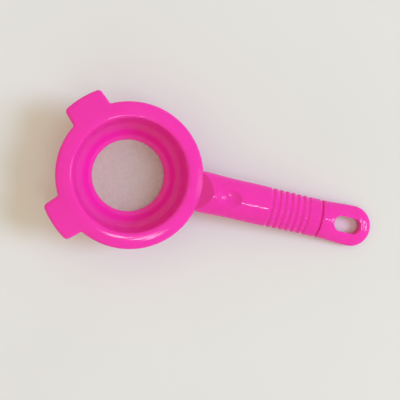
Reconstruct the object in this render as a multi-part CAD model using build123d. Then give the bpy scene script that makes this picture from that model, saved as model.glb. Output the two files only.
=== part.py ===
from build123d import *
import os
from math import asin, cos, degrees, pi, radians, sin, sqrt

# A hand flour sifter: a deep round bowl with a crowned rim, two rest ears and a hollow
# ribbed handle, moulded in one piece; a disc of wire mesh held under the bowl's throat by
# a snap ring; and a push-in cap with a hanging slot that closes the handle.
#
# Frame: millimetres, +Z up the bowl's axis, +X along the handle, origin at the centre of
# the foot collar's bottom face.

WALL = 2.0

# Rim: a crowned flange with a skirt turned down round it
RIM_RADIUS = 45.0
RIM_TOP = 29.5
SKIRT_BOTTOM = 23.0
SHOULDER_RADIUS = 2.5
CROWN_START = 37.2
CROWN_BEND = 18.0
CROWN_SLOPE = 12.0
CROWN_REACH = 58.0

# Ears that rest on a cup, one each side, behind the bowl
EAR_ANGLES = (135.0, 225.0)
EAR_REACH = 55.1
EAR_ROOT = 36.0
EAR_ROOT_HALF = 13.35
EAR_TIP_HALF = 12.45
EAR_CORNER_RADIUS = 3.0
EAR_ROOT_FILLET = 1.2

# Bowl, inside surface
LIP_RADIUS = 1.8
LIP_WALL = 34.8
WALL_FOOT = (33.2, 17.5)
THROAT_RADIUS = 23.05
BOWL_LOW = (23.55, 4.0)

# Foot collar, mesh and snap ring
COLLAR_RADIUS = 27.8
COLLAR_BORE = 26.3
LEDGE_HEIGHT = 3.0
WIRE = 0.28
MESH_RADIUS = 26.0
RING_CLEARANCE = 0.12
RING_BOTTOM = 0.3
BEAD_HEIGHT = 1.25
BEAD_RADIUS = 0.45
BEAD_CLEARANCE = 0.08

# Handle
HANDLE_MID = 25.5
HANDLE_ROOT = 40.0
HANDLE_END = 121.9
HANDLE_WIDTHS = ((40.0, 13.05), (50.0, 12.85), (62.0, 12.5), (80.0, 12.6), (122.0, 12.2))
HANDLE_FLATNESS = 0.655
CREST_POWER = 1.5
BELLY_POWER = 2.0
RIB_FIRST = 89.5
RIB_PITCH = 4.0
RIB_COUNT = 7
RIB_DEPTH = 0.75
RIB_WIDTH = 3.0
END_ROUNDING = 0.8
SECTION_POINTS = 24
ROOT_SECTIONS = 9
RIB_SECTIONS = 8
TAIL_SECTIONS = 3

# Neck, where the handle meets the rim
FACET_ROOT = 44.3
FACET_REACH = 58.5
FACET_SLOPE = 38.0
NECK_UNDERSIDE = ((38.0, 23.0), (47.0, 23.0), (56.0, 20.2), (66.0, 17.3), (76.0, 16.4))

# Thumb dimple
DIMPLE_X = 61.9
DIMPLE_SPHERE = 13.3
DIMPLE_DEPTH = 2.6

# Hollow inside the handle
BORE_HALF_WIDTH = 10.1
BORE_HALF_HEIGHT = 6.1
BORE_START = 53.0

# End cap
CAP_START = 123.3
CAP_BEND = 146.0
CAP_WIDTHS = (12.2, 13.05)
CAP_HEIGHTS = (7.99, 3.3)
CAP_POWERS = (1.5, 2.4)
EDGE_SECTIONS = 4
BLADE_SECTIONS = 20
NOSE_SECTIONS = 14
NOSE_SWEEP = 84.0
COLLAR_INSET = 1.2
SPIGOT_TIP = 104.0
SPIGOT_CLEARANCE = 0.3
SPIGOT_WALL = 1.6
BAND_CLEARANCE = 0.05
BAND_PLACES = (107.5, 112.5, 117.5)
BAND_WIDTH = 1.6
SEAM_CLEARANCE = 0.1
SLOT_MID = 141.9
SLOT_LENGTH = 18.8
SLOT_WIDTH = 9.8
SLOT_ROUNDING = 1.7
SLOT_LEDGE = 0.1

# How far cutting and joining shapes run past what they cut or join
OVERLAP = 1.0
EAR_MARGIN = 5.0
BOWL_MARGIN = 8.0
NECK_CUT_LOW = 10.0
NECK_CUT_HALF = 20.0
SLOT_CUT_HALF = 15.0
SLOT_CUT_DROP = 20.0
SLOT_CUT_RISE = 8.0
HALF_SPACE = 60.0

# Bands that pick out the rim's top edges
EDGE_RISE = 1.0
EDGE_BAND = 3.0


def interpolate(pairs, x):
    """The value at x of a curve through (x, value) pairs, eased between them."""
    if x <= pairs[0][0]:
        return pairs[0][1]
    for (x0, v0), (x1, v1) in zip(pairs, pairs[1:]):
        if x <= x1:
            t = (x - x0) / (x1 - x0)
            return v0 + (v1 - v0) * t * t * (3 - 2 * t)
    return pairs[-1][1]


def section_wire(x, half_width, half_height, crest_power, belly_power=BELLY_POWER):
    """A closed cross-section at x: a soft ridge on top, and a round belly."""
    points = []
    for i in range(SECTION_POINTS):
        t = 2 * pi * i / SECTION_POINTS
        power = crest_power if sin(t) > 0 else belly_power
        height = half_height * sqrt(max(0.0, 1 - abs(cos(t)) ** power))
        points.append((x, half_width * cos(t), HANDLE_MID + (height if sin(t) > 0 else -height)))
    return Wire([Edge.make_spline(points, periodic=True)])


def section_prism(x0, x1, half_width, half_height, power):
    """A straight length of one cross-section, from x0 to x1."""
    face = Face(section_wire(x0, half_width, half_height, power))
    return extrude(face, amount=x1 - x0, dir=(1, 0, 0))


def crown_height(radius, drop=0.0):
    """Height of the rim's crowned top at a radius beyond its bend."""
    bend_end = CROWN_START + CROWN_BEND * sin(radians(CROWN_SLOPE))
    bend_low = RIM_TOP - CROWN_BEND * (1 - cos(radians(CROWN_SLOPE)))
    slope = sin(radians(CROWN_SLOPE)) / cos(radians(CROWN_SLOPE))
    return bend_low - slope * (radius - bend_end) - drop


def turned(outline):
    """A solid turned about the bowl's axis from an outline of edges in the XZ plane."""
    return revolve(make_face(Wire(outline)), axis=Axis.Z)


def xz(r, z):
    return Vector(r, 0, z)


def under_crown(low, drop=0.0):
    """Everything inside the crown's reach, from height low up to its top less drop."""
    bend_end = CROWN_START + CROWN_BEND * sin(radians(CROWN_SLOPE))
    top = RIM_TOP - drop
    half = radians(CROWN_SLOPE / 2)
    middle = xz(CROWN_START + CROWN_BEND * sin(half), top - CROWN_BEND * (1 - cos(half)))
    bend = xz(bend_end, crown_height(bend_end, drop))
    edge = xz(CROWN_REACH, crown_height(CROWN_REACH, drop))
    return turned([
        Edge.make_line(xz(0, low), xz(CROWN_REACH, low)),
        Edge.make_line(xz(CROWN_REACH, low), edge),
        Edge.make_line(edge, bend),
        Edge.make_three_point_arc(bend, middle, xz(CROWN_START, top)),
        Edge.make_line(xz(CROWN_START, top), xz(0, top)),
        Edge.make_line(xz(0, top), xz(0, low)),
    ])


def ear_outline(angle):
    """One ear in plan: two sides that close in slightly, and a tip concentric with the bowl."""
    reach = EAR_REACH + EAR_MARGIN
    narrowing = (EAR_ROOT_HALF - EAR_TIP_HALF) / (EAR_REACH - EAR_ROOT)
    far = EAR_ROOT_HALF - narrowing * (reach - EAR_ROOT)
    blade = Polygon(
        (EAR_ROOT, -EAR_ROOT_HALF), (reach, -far), (reach, far), (EAR_ROOT, EAR_ROOT_HALF),
        align=None,
    )
    ear = blade & Circle(EAR_REACH)
    tips = ear.vertices().sort_by(Axis.X)[-2:]
    return Rot(0, 0, angle) * fillet(tips, EAR_CORNER_RADIUS)


def rim_outline():
    """The rim and both ears in plan, with small fillets where they join."""
    plan = Sketch() + Circle(RIM_RADIUS)
    for angle in EAR_ANGLES:
        plan += ear_outline(angle)
    joins = [v for v in plan.vertices() if abs(Vector(v.X, v.Y).length - RIM_RADIUS) < 0.01]
    return fillet([v for v in joins if v.X < 0], EAR_ROOT_FILLET)


def rim():
    """The flange, its ears and the skirt round them, solid over the bowl."""
    plan = rim_outline()
    block = extrude(Pos(0, 0, SKIRT_BOTTOM) * plan, amount=2 * (RIM_TOP - SKIRT_BOTTOM))
    block = block & under_crown(SKIRT_BOTTOM)
    sides = [f for f in block.faces() if abs(f.normal_at(f.center()).Z) < 0.05]
    top = [
        e for e in block.edges()
        if e.center().Z > SKIRT_BOTTOM + EDGE_RISE
        and Vector(e.center().X, e.center().Y).length > RIM_RADIUS - EDGE_BAND
        and abs(e.tangent_at(0.5).Z) < 0.3
        and any(e.distance_to(f) < 1e-4 for f in sides)
    ]
    block = fillet(top, SHOULDER_RADIUS)
    inside = offset(plan, amount=-WALL, kind=Kind.INTERSECTION)
    low = SKIRT_BOTTOM - OVERLAP
    hollow = extrude(Pos(0, 0, low) * inside, amount=2 * (RIM_TOP - SKIRT_BOTTOM))
    return block, hollow & under_crown(low, WALL)


def bowl_arc():
    """Centre and radius of the curve at the foot of the bowl's inside wall."""
    r0, z0 = WALL_FOOT
    r1, z1 = BOWL_LOW
    lean_r, lean_z = LIP_WALL - r0, RIM_TOP - LIP_RADIUS - z0
    length = sqrt(lean_r**2 + lean_z**2)
    normal_r, normal_z = -lean_z / length, lean_r / length
    dr, dz = r1 - r0, z1 - z0
    radius = (dr**2 + dz**2) / (2 * (dr * normal_r + dz * normal_z))
    return (r0 + radius * normal_r, z0 + radius * normal_z), radius


def arc_to(centre, radius, start, end):
    """An arc about centre between two points on it, the short way round."""
    middle = (Vector(*start) + Vector(*end)) * 0.5 - Vector(*centre)
    middle = Vector(*centre) + middle.normalized() * radius
    return Edge.make_three_point_arc(xz(*start), xz(middle.X, middle.Y), xz(*end))


def bowl_inside():
    """The space inside the bowl, from the throat up past the rounded lip."""
    (cr, cz), radius = bowl_arc()
    throat_top = cz - sqrt(radius**2 - (THROAT_RADIUS - cr) ** 2)
    wall_top = (LIP_WALL, RIM_TOP - LIP_RADIUS)
    lip_top = (LIP_WALL + LIP_RADIUS, RIM_TOP)
    lip_middle = (
        lip_top[0] - LIP_RADIUS * sin(radians(45)),
        wall_top[1] + LIP_RADIUS * sin(radians(45)),
    )
    high = RIM_TOP + BOWL_MARGIN
    low = LEDGE_HEIGHT - OVERLAP
    return turned([
        Edge.make_line(xz(0, low), xz(THROAT_RADIUS, low)),
        Edge.make_line(xz(THROAT_RADIUS, low), xz(THROAT_RADIUS, throat_top)),
        arc_to((cr, cz), radius, (THROAT_RADIUS, throat_top), WALL_FOOT),
        Edge.make_line(xz(*WALL_FOOT), xz(*wall_top)),
        Edge.make_three_point_arc(xz(*wall_top), xz(*lip_middle), xz(*lip_top)),
        Edge.make_line(xz(*lip_top), xz(lip_top[0], high)),
        Edge.make_line(xz(lip_top[0], high), xz(0, high)),
        Edge.make_line(xz(0, high), xz(0, low)),
    ])


def bowl_outside():
    """The bowl as a solid, one wall larger than the space inside it, down to the foot."""
    (cr, cz), radius = bowl_arc()
    outer = radius + WALL
    lean_r, lean_z = LIP_WALL - WALL_FOOT[0], RIM_TOP - LIP_RADIUS - WALL_FOOT[1]
    length = sqrt(lean_r**2 + lean_z**2)
    out_r, out_z = WALL * lean_z / length, -WALL * lean_r / length
    low = (WALL_FOOT[0] + out_r, WALL_FOOT[1] + out_z)
    rise = RIM_TOP - WALL / 2 - low[1]
    high = (low[0] + rise * lean_r / lean_z, RIM_TOP - WALL / 2)
    meets = (COLLAR_RADIUS, cz - sqrt(outer**2 - (COLLAR_RADIUS - cr) ** 2))
    return turned([
        Edge.make_line(xz(0, 0), xz(COLLAR_RADIUS, 0)),
        Edge.make_line(xz(COLLAR_RADIUS, 0), xz(*meets)),
        arc_to((cr, cz), outer, meets, low),
        Edge.make_line(xz(*low), xz(*high)),
        Edge.make_line(xz(*high), xz(0, high[1])),
        Edge.make_line(xz(0, high[1]), xz(0, 0)),
    ])


def bead(radius, size):
    """A round-section ring about the bowl's axis, at the snap bead's height."""
    return Pos(0, 0, BEAD_HEIGHT) * Torus(radius, size)


def collar_recess():
    """The seat for the mesh and its ring, open at the foot, with the snap groove."""
    depth = LEDGE_HEIGHT + OVERLAP
    seat = Cylinder(COLLAR_BORE, depth, align=(Align.CENTER, Align.CENTER, Align.MIN))
    bead_middle = COLLAR_BORE - RING_CLEARANCE
    return Pos(0, 0, -OVERLAP) * seat + bead(bead_middle, BEAD_RADIUS + BEAD_CLEARANCE)


def rib_cut(x):
    """How far the handle's half-width is reduced at x by the grip grooves."""
    for i in range(RIB_COUNT):
        off = abs(x - RIB_FIRST - i * RIB_PITCH) / (RIB_WIDTH / 2)
        if off < 1:
            return RIB_DEPTH * (cos(pi * off) + 1) / 2
    return 0.0


def handle_length(x0, x1, count, ruled):
    """One length of the handle's outer form, through evenly spaced cross-sections."""
    wires = []
    for i in range(count):
        x = x0 + (x1 - x0) * i / (count - 1)
        half = interpolate(HANDLE_WIDTHS, x)
        cut = rib_cut(x)
        wires.append(section_wire(x, half - cut, half * HANDLE_FLATNESS - cut, CREST_POWER))
    return Part() + Solid.make_loft(wires, ruled=ruled)


def handle_outside():
    """The handle's outer form, from inside the rim to its open end."""
    grip_start = RIB_FIRST - RIB_PITCH / 2
    grip_end = grip_start + RIB_COUNT * RIB_PITCH
    root = handle_length(HANDLE_ROOT, grip_start, ROOT_SECTIONS, ruled=False)
    grip = handle_length(grip_start, grip_end, RIB_COUNT * RIB_SECTIONS + 1, ruled=True)
    tail = handle_length(grip_end, HANDLE_END, TAIL_SECTIONS, ruled=False)
    end = tail.faces().sort_by(Axis.X)[-1]
    return root + grip + fillet(end.edges(), END_ROUNDING)


def facet_space(drop=0.0):
    """The space above the neck's facet: level with the crown, then rising along the handle."""
    slope = sin(radians(FACET_SLOPE)) / cos(radians(FACET_SLOPE))
    root = xz(FACET_ROOT, crown_height(FACET_ROOT, drop))
    bend_end = CROWN_START + CROWN_BEND * sin(radians(CROWN_SLOPE))
    inner = xz(bend_end, crown_height(bend_end, drop))
    top = xz(FACET_REACH, crown_height(FACET_ROOT, drop) + slope * (FACET_REACH - FACET_ROOT))
    return turned([
        Edge.make_line(xz(0, inner.Z), inner),
        Edge.make_line(inner, root),
        Edge.make_line(root, top),
        Edge.make_line(top, xz(0, top.Z)),
        Edge.make_line(xz(0, top.Z), xz(0, inner.Z)),
    ])


def neck_space(rise=0.0):
    """The space under the neck, up to its sloping underside raised by rise."""
    points = [xz(x, z + rise) for x, z in NECK_UNDERSIDE]
    outline = Wire([
        Edge.make_spline(points),
        Edge.make_line(points[-1], xz(points[-1].X, NECK_CUT_LOW)),
        Edge.make_line(xz(points[-1].X, NECK_CUT_LOW), xz(points[0].X, NECK_CUT_LOW)),
        Edge.make_line(xz(points[0].X, NECK_CUT_LOW), points[0]),
    ])
    face = Pos(0, -NECK_CUT_HALF, 0) * make_face(outline)
    return extrude(face, amount=2 * NECK_CUT_HALF, dir=(0, 1, 0))


def dimple(extra=0.0):
    """The ball that presses the thumb dimple, or the wall under it."""
    crest = HANDLE_MID + interpolate(HANDLE_WIDTHS, DIMPLE_X) * HANDLE_FLATNESS
    return Pos(DIMPLE_X, 0, crest - DIMPLE_DEPTH + DIMPLE_SPHERE) * Sphere(DIMPLE_SPHERE + extra)


def handle_hollow():
    """The space inside the handle, one wall in from everything round it."""
    open_end = HANDLE_END + OVERLAP
    bore = section_prism(BORE_START, open_end, BORE_HALF_WIDTH, BORE_HALF_HEIGHT, CREST_POWER)
    return bore - dimple(WALL) - neck_space(WALL) - facet_space(WALL)


def sifter_body():
    """Bowl, rim, ears and handle: one moulding."""
    block, hollow = rim()
    handle = handle_outside() - facet_space() - neck_space() - dimple()
    body = block + handle
    body = body - hollow + bowl_outside()
    body = body - bowl_inside() - collar_recess() - handle_hollow()
    return body


def mesh_disc():
    """The mesh, as a plain flat disc two wires thick."""
    disc = Cylinder(MESH_RADIUS, 2 * WIRE, align=(Align.CENTER, Align.CENTER, Align.MAX))
    return Pos(0, 0, LEDGE_HEIGHT) * disc


def mesh_ring():
    """The ring that snaps into the foot and holds the mesh up against its ledge."""
    outer = COLLAR_BORE - RING_CLEARANCE
    top = LEDGE_HEIGHT - 2 * WIRE
    blank = Pos(0, 0, RING_BOTTOM) * Cylinder(
        outer, top - RING_BOTTOM, align=(Align.CENTER, Align.CENTER, Align.MIN)
    )
    ring = blank + bead(outer, BEAD_RADIUS)
    ring = ring - Cylinder(THROAT_RADIUS, 4 * LEDGE_HEIGHT)
    return ring


def cap_value(x, ends):
    """A value at x that eases from its first end to its second along the cap's blade."""
    return interpolate(((CAP_START, ends[0]), (CAP_BEND, ends[1])), x)


def cap_height(x):
    """Half-height of the cap's outer form at x."""
    return cap_value(x, CAP_HEIGHTS)


def cap_edge_sections():
    """The rounded edge beside the seam, as (x, how far the section is drawn in)."""
    steps = [radians(90.0) * i / EDGE_SECTIONS for i in range(EDGE_SECTIONS)]
    return [(CAP_START + END_ROUNDING * (1 - cos(a)), END_ROUNDING * (1 - sin(a))) for a in steps]


def cap_outside():
    """The cap's outer form: it widens a little and flattens towards a half-round end."""
    wires = []
    for x, inset in cap_edge_sections():
        wires.append(section_wire(
            x, cap_value(x, CAP_WIDTHS) - inset, cap_height(x) - inset, cap_value(x, CAP_POWERS)
        ))
    blade_start = CAP_START + END_ROUNDING
    for i in range(BLADE_SECTIONS):
        x = blade_start + (CAP_BEND - blade_start) * i / BLADE_SECTIONS
        power = cap_value(x, CAP_POWERS)
        belly = cap_value(x, (BELLY_POWER, CAP_POWERS[1]))
        wires.append(section_wire(x, cap_value(x, CAP_WIDTHS), cap_height(x), power, belly))
    radius, flat, power = CAP_WIDTHS[1], CAP_HEIGHTS[1], CAP_POWERS[1]
    for i in range(NOSE_SECTIONS + 1):
        a = radians(NOSE_SWEEP) * i / NOSE_SECTIONS
        height = flat * sqrt(1 - sin(a) ** power)
        wires.append(section_wire(CAP_BEND + radius * sin(a), radius * cos(a), height, power, power))
    return Part() + Solid.make_loft(wires, ruled=True)


def slot_mouth():
    """The flared upper half of the hanging slot, lying along the cap's sloping top."""
    start = SLOT_MID - SLOT_LENGTH / 2
    end = SLOT_MID + SLOT_LENGTH / 2
    rise = cap_height(end) - cap_height(start)
    slope = degrees(asin(rise / (end - start)))
    grown = 2 * (SLOT_ROUNDING + SLOT_LEDGE)
    throat = extrude(SlotOverall(SLOT_LENGTH, SLOT_WIDTH), amount=-SLOT_CUT_DROP)
    mouth = extrude(SlotOverall(SLOT_LENGTH + grown, SLOT_WIDTH + grown), amount=SLOT_CUT_RISE)
    cutter = throat + mouth
    corner = [
        e for e in cutter.edges()
        if abs(e.center().Z) < 0.01 and abs(e.center().Y) < SLOT_WIDTH / 2 + 0.01
        and abs(e.center().X) < SLOT_LENGTH / 2 + 0.01
    ]
    cutter = fillet(corner, SLOT_ROUNDING)
    level = (cap_height(start) + cap_height(end)) / 2
    return Pos(SLOT_MID, 0, level) * Rot(0, -slope, 0) * cutter


def slot_cutter():
    """The hanging slot, with rounded lips above and below."""
    mouth = slot_mouth()
    outline = Pos(0, 0, -SLOT_CUT_HALF) * SlotOverall(SLOT_LENGTH, SLOT_WIDTH)
    throat = extrude(outline, amount=2 * SLOT_CUT_HALF)
    above = (Align.CENTER, Align.CENTER, Align.MIN)
    inside = Box(HALF_SPACE, HALF_SPACE, HALF_SPACE, align=above)
    upper = mouth & (Pos(SLOT_MID, 0, 0) * inside)
    lower = mirror(upper, about=Plane.XY)
    return Pos(0, 0, HANDLE_MID) * (upper + lower + Pos(SLOT_MID, 0, 0) * throat)


def end_cap():
    """The plug that closes the handle, with the hanging slot in its flattened end."""
    cap = cap_outside() - slot_cutter()
    width, height = BORE_HALF_WIDTH, BORE_HALF_HEIGHT
    seam = HANDLE_END + SEAM_CLEARANCE
    cap += section_prism(
        seam, CAP_START + OVERLAP,
        CAP_WIDTHS[0] - COLLAR_INSET, CAP_HEIGHTS[0] - COLLAR_INSET, CREST_POWER,
    )
    slim = SPIGOT_CLEARANCE
    cap += section_prism(SPIGOT_TIP, seam + OVERLAP, width - slim, height - slim, CREST_POWER)
    for place in BAND_PLACES:
        cap += section_prism(
            place, place + BAND_WIDTH,
            width - BAND_CLEARANCE, height - BAND_CLEARANCE, CREST_POWER,
        )
    inner = SPIGOT_CLEARANCE + SPIGOT_WALL
    mouth = SPIGOT_TIP - OVERLAP
    cap -= section_prism(mouth, CAP_START, width - inner, height - inner, CREST_POWER)
    return cap


PARTS = {
    "sifter_body": sifter_body,
    "mesh": mesh_disc,
    "mesh_ring": mesh_ring,
    "end_cap": end_cap,
}

if __name__ == "__main__":
    os.makedirs("parts", exist_ok=True)
    for name, make in PARTS.items():
        export_step(make(), f"parts/{name}.step")
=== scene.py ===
import bpy
from math import atan2, ceil, cos, pi, radians, sin, sqrt
from mathutils import Matrix, Vector


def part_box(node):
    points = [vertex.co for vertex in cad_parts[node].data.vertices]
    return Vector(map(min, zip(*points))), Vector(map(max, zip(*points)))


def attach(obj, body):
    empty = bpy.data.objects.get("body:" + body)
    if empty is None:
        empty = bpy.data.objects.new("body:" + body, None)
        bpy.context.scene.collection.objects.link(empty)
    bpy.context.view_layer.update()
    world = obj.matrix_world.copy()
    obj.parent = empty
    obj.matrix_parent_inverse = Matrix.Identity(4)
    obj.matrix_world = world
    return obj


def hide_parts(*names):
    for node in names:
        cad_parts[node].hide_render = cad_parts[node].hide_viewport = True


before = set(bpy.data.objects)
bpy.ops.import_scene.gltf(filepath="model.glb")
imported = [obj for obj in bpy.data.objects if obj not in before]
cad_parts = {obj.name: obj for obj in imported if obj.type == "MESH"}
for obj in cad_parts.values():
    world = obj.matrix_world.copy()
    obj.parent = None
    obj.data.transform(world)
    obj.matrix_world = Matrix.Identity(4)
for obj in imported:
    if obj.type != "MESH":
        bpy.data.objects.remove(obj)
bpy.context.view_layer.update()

# A pink hand flour sifter lying on a pale table: its foot's edge and its cap touch the table,
# so the table slopes in the object's own frame. Metres throughout, in the CAD's frame.

MM = 0.001

# Camera: almost straight down on the table, turned so the handle points down to the right
CAMERA_DISTANCE = 400 * MM
CAMERA_TILT = radians(10.2)
CAMERA_TURN = radians(12.74)
CAMERA_AIM_RIGHT = 42.2 * MM
CAMERA_AIM_DOWN = 14.9 * MM
CAMERA_LENS_MM = 59.2
CAMERA_SENSOR_MM = 36
CAMERA_CLIP_START = 10 * MM
RIM_LEVEL = 26.0 * MM

# Woven mesh
WIRE = 0.28 * MM
PITCH = 0.8 * MM
WIRE_SIDES = 6
STEPS_PER_PITCH = 4
FEWEST_STEPS = 2
WIRE_CLEARANCE = 0.004 * MM
SHORTEST_HALF_WIRE = 2 * PITCH

# Table
TABLE_RADIUS = 6.0
TABLE_SIDES = 96
TABLE_GAP = 0.05 * MM
FOOT_LEVEL = 0.01 * MM
FOOT_MARGIN = 20 * MM

# Materials: the scales are of noise laid through the object's own space, in metres
NOISE_DETAIL = 3.0
SHADE_BAND = (0.3, 0.7)
PLASTIC_SHADES = ((0.85, 0.018, 0.42), (0.89, 0.024, 0.45))
PLASTIC_SHADE_SCALE = 45
PLASTIC_ROUGHNESS = (0.07, 0.12)
PLASTIC_ROUGHNESS_SCALE = 260
PLASTIC_ROUGHNESS_DETAIL = 5
PLASTIC_IOR = 1.5
SCATTER_WEIGHT = 0.3
SCATTER_RADIUS = (1.0, 0.2, 0.4)
SCATTER_SCALE = 2.0 * MM
RIPPLE_SCALE = 120
RIPPLE_DETAIL = 2
RIPPLE_STRENGTH = 0.06
RIPPLE_HEIGHT = 0.06 * MM
STEEL_SHADES = ((0.77, 0.77, 0.69), (0.88, 0.88, 0.80))
STEEL_SHADE_SCALE = 400
STEEL_ROUGHNESS = (0.35, 0.5)
STEEL_ROUGHNESS_SCALE = 900
STEEL_METALLIC = 0.4
TABLE_SHADES = ((0.755, 0.765, 0.765), (0.785, 0.795, 0.80))
TABLE_SHADE_SCALE = 6
TABLE_ROUGHNESS = 0.7

# Light: warm from the room all round, cool and soft from a far window on the right, and two
# sets of panes, nearly overhead and to the right, which show as gleams. The window is kept out
# of reflections. Bearings turn from the camera's right, slants from its line of sight.
ROOM_LIGHT = (1.0, 0.88, 0.62, 1)
ROOM_STRENGTH = 0.70
LIGHT_AIM = (0.03, 0, 0.02)
WINDOW_COLOUR = (0.50, 0.66, 1.0)
WINDOW_BEARING = radians(0)
WINDOW_SLANT = radians(50)
WINDOW_DISTANCE = 8.0
WINDOW_SIZE = (2.8, 2.8)
WINDOW_POWER = 360.0
PANE_COLOUR = (0.92, 0.96, 1.0)
PANE_DISTANCE = 5.6
SKYLIGHT_BEARING = radians(-47)
SKYLIGHT_SLANTS = (radians(17), radians(24), radians(31))
SKYLIGHT_SIZE = (0.64, 0.24)
SKYLIGHT_POWER = 7.7
SIDE_BEARING = radians(-6)
SIDE_SLANTS = (radians(47), radians(55), radians(63))
SIDE_SIZE = (1.3, 0.36)
SIDE_POWER = 11.0


def node_material(name):
    """A new node material, with its tree and its main shader."""
    material = bpy.data.materials.new(name)
    material.use_nodes = True
    return material, material.node_tree, material.node_tree.nodes["Principled BSDF"]


def noise(tree, scale, detail=NOISE_DETAIL):
    """A noise texture laid through the object's own space, in metres."""
    place = tree.nodes.new("ShaderNodeTexCoord")
    texture = tree.nodes.new("ShaderNodeTexNoise")
    texture.inputs["Scale"].default_value = scale
    texture.inputs["Detail"].default_value = detail
    tree.links.new(place.outputs["Object"], texture.inputs["Vector"])
    return texture.outputs["Fac"]


def spread(tree, value, low, high):
    """A 0 to 1 value spread between low and high."""
    remap = tree.nodes.new("ShaderNodeMapRange")
    remap.inputs["To Min"].default_value = low
    remap.inputs["To Max"].default_value = high
    tree.links.new(value, remap.inputs["Value"])
    return remap.outputs["Result"]


def blend_colours(tree, value, first, second):
    """A colour that goes from first to second with value."""
    ramp = tree.nodes.new("ShaderNodeValToRGB")
    ramp.color_ramp.elements[0].color = (*first, 1.0)
    ramp.color_ramp.elements[0].position = SHADE_BAND[0]
    ramp.color_ramp.elements[1].color = (*second, 1.0)
    ramp.color_ramp.elements[1].position = SHADE_BAND[1]
    tree.links.new(value, ramp.inputs["Fac"])
    return ramp.outputs["Color"]


def bump(tree, shader, height, strength, distance):
    """Fine relief on a shader's normal."""
    node = tree.nodes.new("ShaderNodeBump")
    node.inputs["Strength"].default_value = strength
    node.inputs["Distance"].default_value = distance
    tree.links.new(height, node.inputs["Height"])
    tree.links.new(node.outputs["Normal"], shader.inputs["Normal"])


def pink_plastic():
    """Glossy moulded plastic: faint moulding ripple, and slightly uneven gloss and colour."""
    material, tree, shader = node_material("pink_plastic")
    shade = blend_colours(tree, noise(tree, PLASTIC_SHADE_SCALE), *PLASTIC_SHADES)
    tree.links.new(shade, shader.inputs["Base Color"])
    wear = noise(tree, PLASTIC_ROUGHNESS_SCALE, PLASTIC_ROUGHNESS_DETAIL)
    tree.links.new(spread(tree, wear, *PLASTIC_ROUGHNESS), shader.inputs["Roughness"])
    shader.inputs["IOR"].default_value = PLASTIC_IOR
    shader.inputs["Subsurface Weight"].default_value = SCATTER_WEIGHT
    shader.inputs["Subsurface Radius"].default_value = SCATTER_RADIUS
    shader.inputs["Subsurface Scale"].default_value = SCATTER_SCALE
    ripple = noise(tree, RIPPLE_SCALE, RIPPLE_DETAIL)
    bump(tree, shader, ripple, RIPPLE_STRENGTH, RIPPLE_HEIGHT)
    return material


def wire_steel():
    """Dull drawn steel wire."""
    material, tree, shader = node_material("mesh_metal")
    shade = blend_colours(tree, noise(tree, STEEL_SHADE_SCALE), *STEEL_SHADES)
    tree.links.new(shade, shader.inputs["Base Color"])
    wear = noise(tree, STEEL_ROUGHNESS_SCALE)
    tree.links.new(spread(tree, wear, *STEEL_ROUGHNESS), shader.inputs["Roughness"])
    shader.inputs["Metallic"].default_value = STEEL_METALLIC
    return material


def table_top():
    """Plain pale matt table."""
    material, tree, shader = node_material("table_top")
    shade = blend_colours(tree, noise(tree, TABLE_SHADE_SCALE), *TABLE_SHADES)
    tree.links.new(shade, shader.inputs["Base Color"])
    shader.inputs["Roughness"].default_value = TABLE_ROUGHNESS
    return material


def mesh_object(name, points, faces, material):
    """A smooth mesh object with one material, in the scene."""
    mesh = bpy.data.meshes.new(name)
    mesh.from_pydata(points, [], faces)
    mesh.materials.append(material)
    mesh.polygons.foreach_set("use_smooth", [True] * len(mesh.polygons))
    mesh.update()
    made = bpy.data.objects.new(name, mesh)
    bpy.context.scene.collection.objects.link(made)
    return made


def add_wire(points, faces, place, half, along_x, phase, level):
    """One crimped wire of the weave, as a tube with closed ends."""
    steps = max(FEWEST_STEPS, ceil(2 * half / PITCH * STEPS_PER_PITCH))
    radius = WIRE / 2 - WIRE_CLEARANCE
    first = len(points)
    for i in range(steps + 1):
        run = -half + 2 * half * i / steps
        rise = WIRE / 2 * cos(pi * run / PITCH) * phase
        for k in range(WIRE_SIDES):
            a = 2 * pi * k / WIRE_SIDES
            side, up = place + radius * cos(a), level + rise + radius * sin(a)
            points.append((run, side, up) if along_x else (side, run, up))
    for i in range(steps):
        for k in range(WIRE_SIDES):
            a = first + i * WIRE_SIDES + k
            b = first + i * WIRE_SIDES + (k + 1) % WIRE_SIDES
            ring = (a, b, b + WIRE_SIDES, a + WIRE_SIDES)
            faces.append(ring[::-1] if along_x else ring)
    near = tuple(range(first, first + WIRE_SIDES))
    far = tuple(i + steps * WIRE_SIDES for i in near)
    faces.append(near if along_x else near[::-1])
    faces.append(far[::-1] if along_x else far)


def weave(name, along_x, material):
    """All the wires of the mesh that run one way."""
    low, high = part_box("mesh")
    reach, level = high[0] - WIRE, (low[2] + high[2]) / 2
    count = int(reach / PITCH)
    points, faces = [], []
    for i in range(-count, count + 1):
        place = i * PITCH
        half = sqrt(max(0.0, reach**2 - place**2))
        if half < SHORTEST_HALF_WIRE:
            continue
        phase = (1 if i % 2 == 0 else -1) * (1 if along_x else -1)
        add_wire(points, faces, place, half, along_x, phase, level)
    return mesh_object(name, points, faces, material)


def table_slope():
    """The foot's edge, and the slope of a table that touches it and the lowest point past it."""
    body = [vertex.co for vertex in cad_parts["sifter_body"].data.vertices]
    cap = [vertex.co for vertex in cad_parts["end_cap"].data.vertices]
    foot = max(point.x for point in body if point.z < FOOT_LEVEL)
    beyond = [point for point in body + cap if point.x > foot + FOOT_MARGIN]
    return foot, min(atan2(point.z, point.x - foot) for point in beyond)


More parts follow.
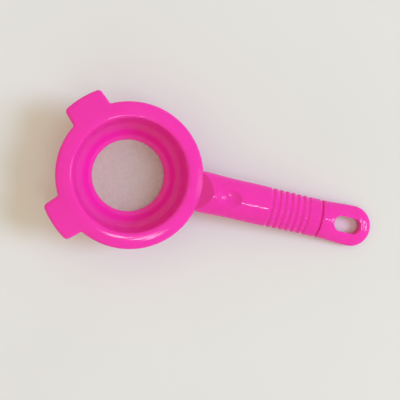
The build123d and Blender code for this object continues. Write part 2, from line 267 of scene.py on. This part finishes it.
def add_table(material):
    """The table's top, as a large disc that slopes as the object leans on it."""
    foot, slope = table_slope()
    along = Vector((cos(slope), 0, sin(slope)))
    across = Vector((0, 1, 0))
    up = Vector((-sin(slope), 0, cos(slope)))
    middle = Vector((foot, 0, 0)) - up * TABLE_GAP
    turns = [2 * pi * i / TABLE_SIDES for i in range(TABLE_SIDES)]
    edge = [middle + (along * cos(a) + across * sin(a)) * TABLE_RADIUS for a in turns]
    table = mesh_object("table", edge, [tuple(range(TABLE_SIDES))], material)


def camera_axes():
    """Right, up and back directions of the camera, in the object's frame."""
    across = Vector((cos(CAMERA_TILT), 0, sin(CAMERA_TILT)))
    side = Vector((0, 1, 0))
    back = Vector((-sin(CAMERA_TILT), 0, cos(CAMERA_TILT)))
    right = across * cos(CAMERA_TURN) + side * sin(CAMERA_TURN)
    up = side * cos(CAMERA_TURN) - across * sin(CAMERA_TURN)
    return right, up, back


def add_camera():
    """The camera, above the table and aimed between the bowl and the handle."""
    right, up, back = camera_axes()
    data = bpy.data.cameras.new("camera")
    data.lens = CAMERA_LENS_MM
    data.sensor_width = CAMERA_SENSOR_MM
    data.clip_start = CAMERA_CLIP_START
    camera = bpy.data.objects.new("camera", data)
    bpy.context.scene.collection.objects.link(camera)
    aim = Vector((0, 0, RIM_LEVEL)) + right * CAMERA_AIM_RIGHT - up * CAMERA_AIM_DOWN
    turn = Matrix((right, up, back)).transposed().to_4x4()
    camera.matrix_world = Matrix.Translation(aim + back * CAMERA_DISTANCE) @ turn
    bpy.context.scene.camera = camera


def add_area_light(name, bearing, slant, distance, size, power, colour, gleams=True):
    """A rectangular light aimed at the object, at a slant from the camera's line of sight."""
    right, up, back = camera_axes()
    outward = right * cos(bearing) + up * sin(bearing)
    way = back * cos(slant) + outward * sin(slant)
    across = back.cross(outward)
    data = bpy.data.lights.new(name, "AREA")
    data.shape = "RECTANGLE"
    data.size, data.size_y = size
    data.energy = power
    data.color = colour
    light = bpy.data.objects.new(name, data)
    bpy.context.scene.collection.objects.link(light)
    light.visible_glossy = gleams
    turn = Matrix((across, way.cross(across), way)).transposed().to_4x4()
    light.matrix_world = Matrix.Translation(Vector(LIGHT_AIM) + way * distance) @ turn


def add_panes(name, bearing, slants, size, power):
    """A set of narrow panes, one beyond another on the same bearing."""
    for i, slant in enumerate(slants):
        add_area_light(f"{name}_{i}", bearing, slant, PANE_DISTANCE, size, power, PANE_COLOUR)


def add_windows():
    """The window on the right, which casts the shadows, and the panes for the gleams."""
    add_area_light(
        "window", WINDOW_BEARING, WINDOW_SLANT, WINDOW_DISTANCE, WINDOW_SIZE,
        WINDOW_POWER, WINDOW_COLOUR, gleams=False,
    )
    add_panes("skylight", SKYLIGHT_BEARING, SKYLIGHT_SLANTS, SKYLIGHT_SIZE, SKYLIGHT_POWER)
    add_panes("side_pane", SIDE_BEARING, SIDE_SLANTS, SIDE_SIZE, SIDE_POWER)


def add_world():
    """Even warm light from all round."""
    world = bpy.data.worlds.new("studio")
    world.use_nodes = True
    background = world.node_tree.nodes["Background"]
    background.inputs["Color"].default_value = ROOM_LIGHT
    background.inputs["Strength"].default_value = ROOM_STRENGTH
    bpy.context.scene.world = world


plastic = pink_plastic()
steel = wire_steel()
for name in ("sifter_body", "end_cap", "mesh_ring"):
    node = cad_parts[name]
    node.data.materials.clear()
    node.data.materials.append(plastic)

warp = weave("mesh_warp", True, steel)
weft = weave("mesh_weft", False, steel)
for piece in (warp, weft):
    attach(piece, "root")
    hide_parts("mesh")

add_table(table_top())
add_camera()
add_world()
add_windows()
bpy.context.scene.view_settings.view_transform = "Standard"
